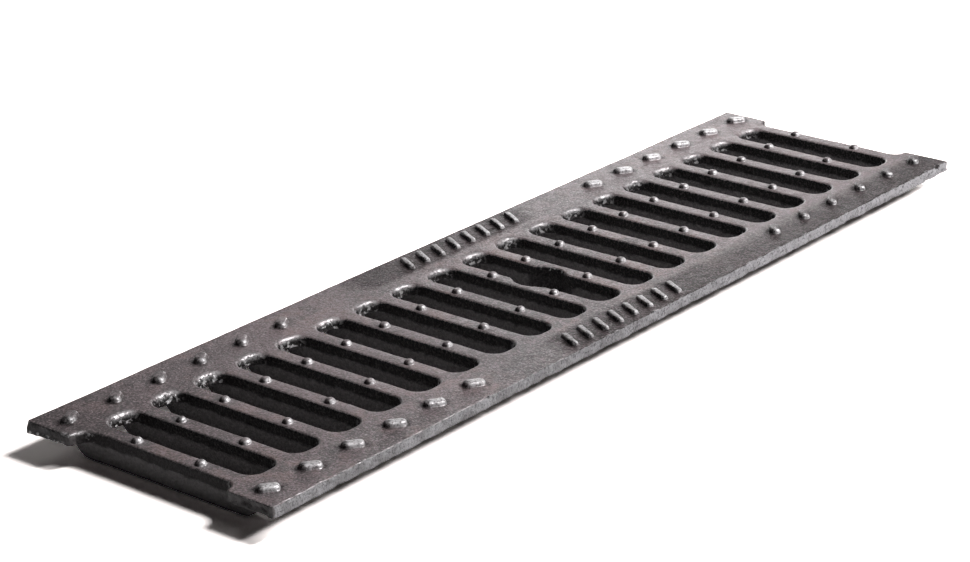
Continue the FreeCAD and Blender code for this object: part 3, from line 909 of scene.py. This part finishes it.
def iron_material():
    """Sand-cast iron under a thin coat: grainy and half matt on the tread, black and rough on the slots'
    walls, darkened there further as painted shade, and rubbed down to the iron where feet and the fettling
    wheel have taken the coat, which on the studs, the slots' ends and the mouth of the near end gap is also a
    painted highlight.
    Black painted shade lies beside the studs and round their feet."""
    material = bpy.data.materials.new("coated_cast_iron")
    nodes = Nodes(material)
    at = surface(nodes)
    colour = nodes.paint(nodes.rest(at.on_wall), wall_colour(nodes, at), tread_colour(nodes, at))

    # Pale bare iron, rubbed off and also painted as highlights, and black painted shade on the studs, both
    # given on the mesh.
    worn_and_lit = nodes.add("Attribute", attribute_name="bare_and_highlight").outputs["Fac"]
    painted_shade = nodes.add("Attribute", attribute_name="painted_shade").outputs["Fac"]
    painted_shade = nodes.times(painted_shade, nodes.ramp(at.grain, 0.3, 0.6, 1.0, 0.75))
    rubbed = nodes.ramp(nodes.noise(at.place, 900, 3, 0.65), 0.4, 0.5, 0.3, 1.0)
    bare_and_highlight = nodes.times(worn_and_lit, rubbed, nodes.rest(painted_shade))
    bare_and_highlight = nodes.largest(bare_and_highlight, nodes.times(flash_specks_and_glints(nodes, at), 0.8))
    colour = nodes.paint(painted_shade, colour, BLACK_PAINTED_SHADE)
    colour = nodes.paint(bare_and_highlight, colour, BARE_IRON_AND_HIGHLIGHT)

    rough = nodes.ramp(nodes.noise(at.place, 300, 3), 0.3, 0.7, 0.36, 0.52)
    rough = nodes.mix(nodes.largest(at.edge, nodes.ramp(worn_and_lit, 0.05, 0.2)), rough, 0.3)
    rough = nodes.mix(nodes.ramp(worn_and_lit, 0.25, 0.5), rough, 0.38)
    dull = nodes.times(at.on_wall, nodes.rest(nodes.largest(at.side, at.end)))
    shine = nodes.mix(dull, 0.7, nodes.mix(at.on_rib, 0.14, 0.22))
    shine = nodes.times(shine, nodes.ramp(at.dirt, 0.1, 0.8, 1.0, 0.2),
                        nodes.ramp(painted_shade, 0.1, 0.8, 1.0, 0.15))
    metallic = nodes.times(bare_and_highlight, nodes.ramp(worn_and_lit, 0.45, 0.7, 1.0, 0.4))

    # Swells and grain of the sand mould, finer where the surface is polished, and pits on the walls.
    polished = nodes.largest(at.edge, nodes.ramp(worn_and_lit, 0.05, 0.3))
    swells = nodes.bump(nodes.noise(at.place, 320, 3, 0.6), 0.75, 0.7 * MM)
    fine = nodes.bump(nodes.noise(at.place, 1100, 3, 0.65), nodes.mix(polished, 0.9, 0.18), 0.35 * MM, swells)
    pits = nodes.bump(nodes.times(nodes.noise(at.place, 560, 3, 0.7), at.on_wall), 0.9, 0.9 * MM, fine)
    shader = nodes.add("BsdfPrincipled", {"Base Color": colour, "Roughness": rough, "Metallic": metallic,
                                          "Specular IOR Level": shine, "Normal": pits})
    shader.inputs["IOR"].default_value = 1.5
    nodes.add("OutputMaterial", {"Surface": shader.outputs[0]})
    return material


# How much of the light on it the floor shows to the camera: near the object, far from it and along the side
# of the grate that faces the camera, where it is painted light over the shadow. The tint shows in the shadows
# alone, because the rest is over white.
FLOOR_SIZE = 8.0
FLOOR_TINT = (1.0, 0.94, 0.915)
FLOOR_SEEN = 2.4
FLOOR_SEEN_FAR = 7.0
FLOOR_SEEN_BESIDE = 11.0


def floor_material():
    """A floor that photographs a little over white, so that only the object's shadow shows on it."""
    material = bpy.data.materials.new("studio_floor")
    nodes = Nodes(material)
    place = nodes.add("TexCoord").outputs["Object"]
    x, y = nodes.split(place)[:2]
    distance = nodes.add("VectorMath", {0: place}, operation="LENGTH").outputs["Value"]
    # Far from the object less light falls on the floor, which stays white there as well. Along the side of
    # the grate that faces the camera the floor is painted brightest, painted light that leaves only a thin
    # line of the shadow.
    seen = nodes.ramp(distance, 0.6, 1.4, FLOOR_SEEN, FLOOR_SEEN_FAR)
    beside = nodes.times(nodes.ramp(y, -0.056, -0.063), nodes.ramp(x, -0.262, -0.23))
    seen = nodes.mix(beside, seen, FLOOR_SEEN_BESIDE)
    tint = nodes.paint(nodes.by_ray(0.0, 0.0, 1.0), (1.0, 1.0, 1.0), FLOOR_TINT)
    colour = nodes.add("VectorMath", {0: tint, "Scale": nodes.by_ray(0.6, 1.0, seen)}, operation="SCALE")
    shader = nodes.add("BsdfDiffuse", {"Color": colour.outputs[0]})
    nodes.add("OutputMaterial", {"Surface": shader.outputs[0]})
    return material


def floor_object():
    """A square floor."""
    work = bmesh.new()
    bmesh.ops.create_grid(work, x_segments=1, y_segments=1, size=FLOOR_SIZE / 2)
    mesh = bpy.data.meshes.new("studio_floor")
    work.to_mesh(mesh)
    work.free()
    return bpy.data.objects.new("studio_floor", mesh)


def lamp(name, kind, place, direction, energy):
    """A lamp whose light comes from a direction. Returns its settings."""
    data = bpy.data.lights.new(name, kind)
    data.energy = energy
    made = bpy.data.objects.new(name, data)
    made.location = place
    made.rotation_euler = Vector(direction).to_track_quat("Z", "Y").to_euler()
    bpy.context.collection.objects.link(made)
    return data


def sun(name, direction, energy, degrees):
    """A lamp far away, with its angle across."""
    lamp(name, "SUN", (0.0, 0.0, 0.0), direction, energy).angle = math.radians(degrees)


def softbox(name, place, aim, width, height, energy):
    """A rectangular lamp that looks at a point."""
    data = lamp(name, "AREA", place, Vector(place) - Vector(aim), energy)
    data.shape = "RECTANGLE"
    data.size = width
    data.size_y = height


# The middle of the dark part of the surrounding, in degrees from +X, and how bright it is there. Then the
# light that the surrounding gives.
DARK_WAY = math.radians(115)
DARK_SHARE = 0.02
WORLD_LIGHT = 0.003


def set_world():
    """A surrounding that the camera sees white and that gives next to no light. Mirrored rays find it white,
    but dark behind the object and at its left, up to half-way overhead."""
    world = bpy.data.worlds.new("studio")
    bpy.context.scene.world = world
    nodes = Nodes(world)
    way = nodes.add("TexCoord").outputs["Generated"]
    middle = (math.cos(DARK_WAY), math.sin(DARK_WAY), 0.0)
    facing = nodes.add("VectorMath", {0: way, 1: middle}, operation="DOT_PRODUCT").outputs["Value"]
    dark = nodes.times(nodes.ramp(facing, -0.6, -0.4), nodes.ramp(nodes.split(way)["Z"], 0.78, 0.66))
    strength = nodes.by_ray(WORLD_LIGHT, nodes.ramp(dark, 0.0, 1.0, 1.0, DARK_SHARE), 1.0)
    background = nodes.add("Background", {"Color": (1, 1, 1, 1), "Strength": strength})
    nodes.add("OutputWorld", {"Surface": background.outputs[0]})


# The camera stands as the photograph's did: its angles, its distance and its focal length in pixels come
# from the plate's outline and the rows of studs.
IMAGE_WIDTH = 970
AZIMUTH = math.radians(-50.341)
ELEVATION = math.radians(21.557)
ROLL = math.radians(-1.078)
DISTANCE = 1.27976
TARGET = Vector((-0.01972, 0.01577, TREAD * MM))
FOCAL_PIXELS = 2797.7
SENSOR_MM = 36


def set_camera():
    """Puts the camera in its place and turns it about its axis by the roll."""
    back = Vector((math.sin(AZIMUTH) * math.cos(ELEVATION), -math.cos(AZIMUTH) * math.cos(ELEVATION),
                   math.sin(ELEVATION)))
    right = Vector((0, 0, 1)).cross(back).normalized()
    up = back.cross(right)
    turned_right = math.cos(ROLL) * right + math.sin(ROLL) * up
    turned_up = math.cos(ROLL) * up - math.sin(ROLL) * right
    data = bpy.data.cameras.new("camera")
    data.sensor_width = SENSOR_MM
    data.lens = FOCAL_PIXELS * SENSOR_MM / IMAGE_WIDTH
    data.clip_start = 0.05
    camera = bpy.data.objects.new("camera", data)
    turn = Matrix((turned_right, turned_up, back)).transposed().to_4x4()
    camera.matrix_world = Matrix.Translation(TARGET + back * DISTANCE) @ turn
    bpy.context.collection.objects.link(camera)
    bpy.context.scene.camera = camera


grate = casting()
bpy.context.collection.objects.link(grate)
grate.data.materials.append(iron_material())
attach(grate, "root")
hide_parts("grate")

floor = floor_object()
bpy.context.collection.objects.link(floor)
floor.data.materials.append(floor_material())

# The key softbox, above and on the right, lights the tread, and the first sun the long side that faces the
# camera. The others come from behind the object and from beyond its far end.
sun("side_light", (0.5, -0.644, 0.58), 0.9, 8)
sun("back_light", (0.41, 0.71, 0.57), 0.15, 20)
softbox("key_softbox", (0.62, -0.58, 1.4), (0.0, 0.0, 0.0), 0.36, 0.36, 21.0)
softbox("end_softbox", (1.0, -0.1, 0.55), (0.05, 0.0, 0.0), 0.5, 0.6, 1.0)
softbox("back_softbox", (0.70, 0.46, 0.17), (0.15, 0.0, 0.0), 0.4, 0.2, 1.2)
set_world()
set_camera()
bpy.context.scene.view_settings.view_transform = "Standard"
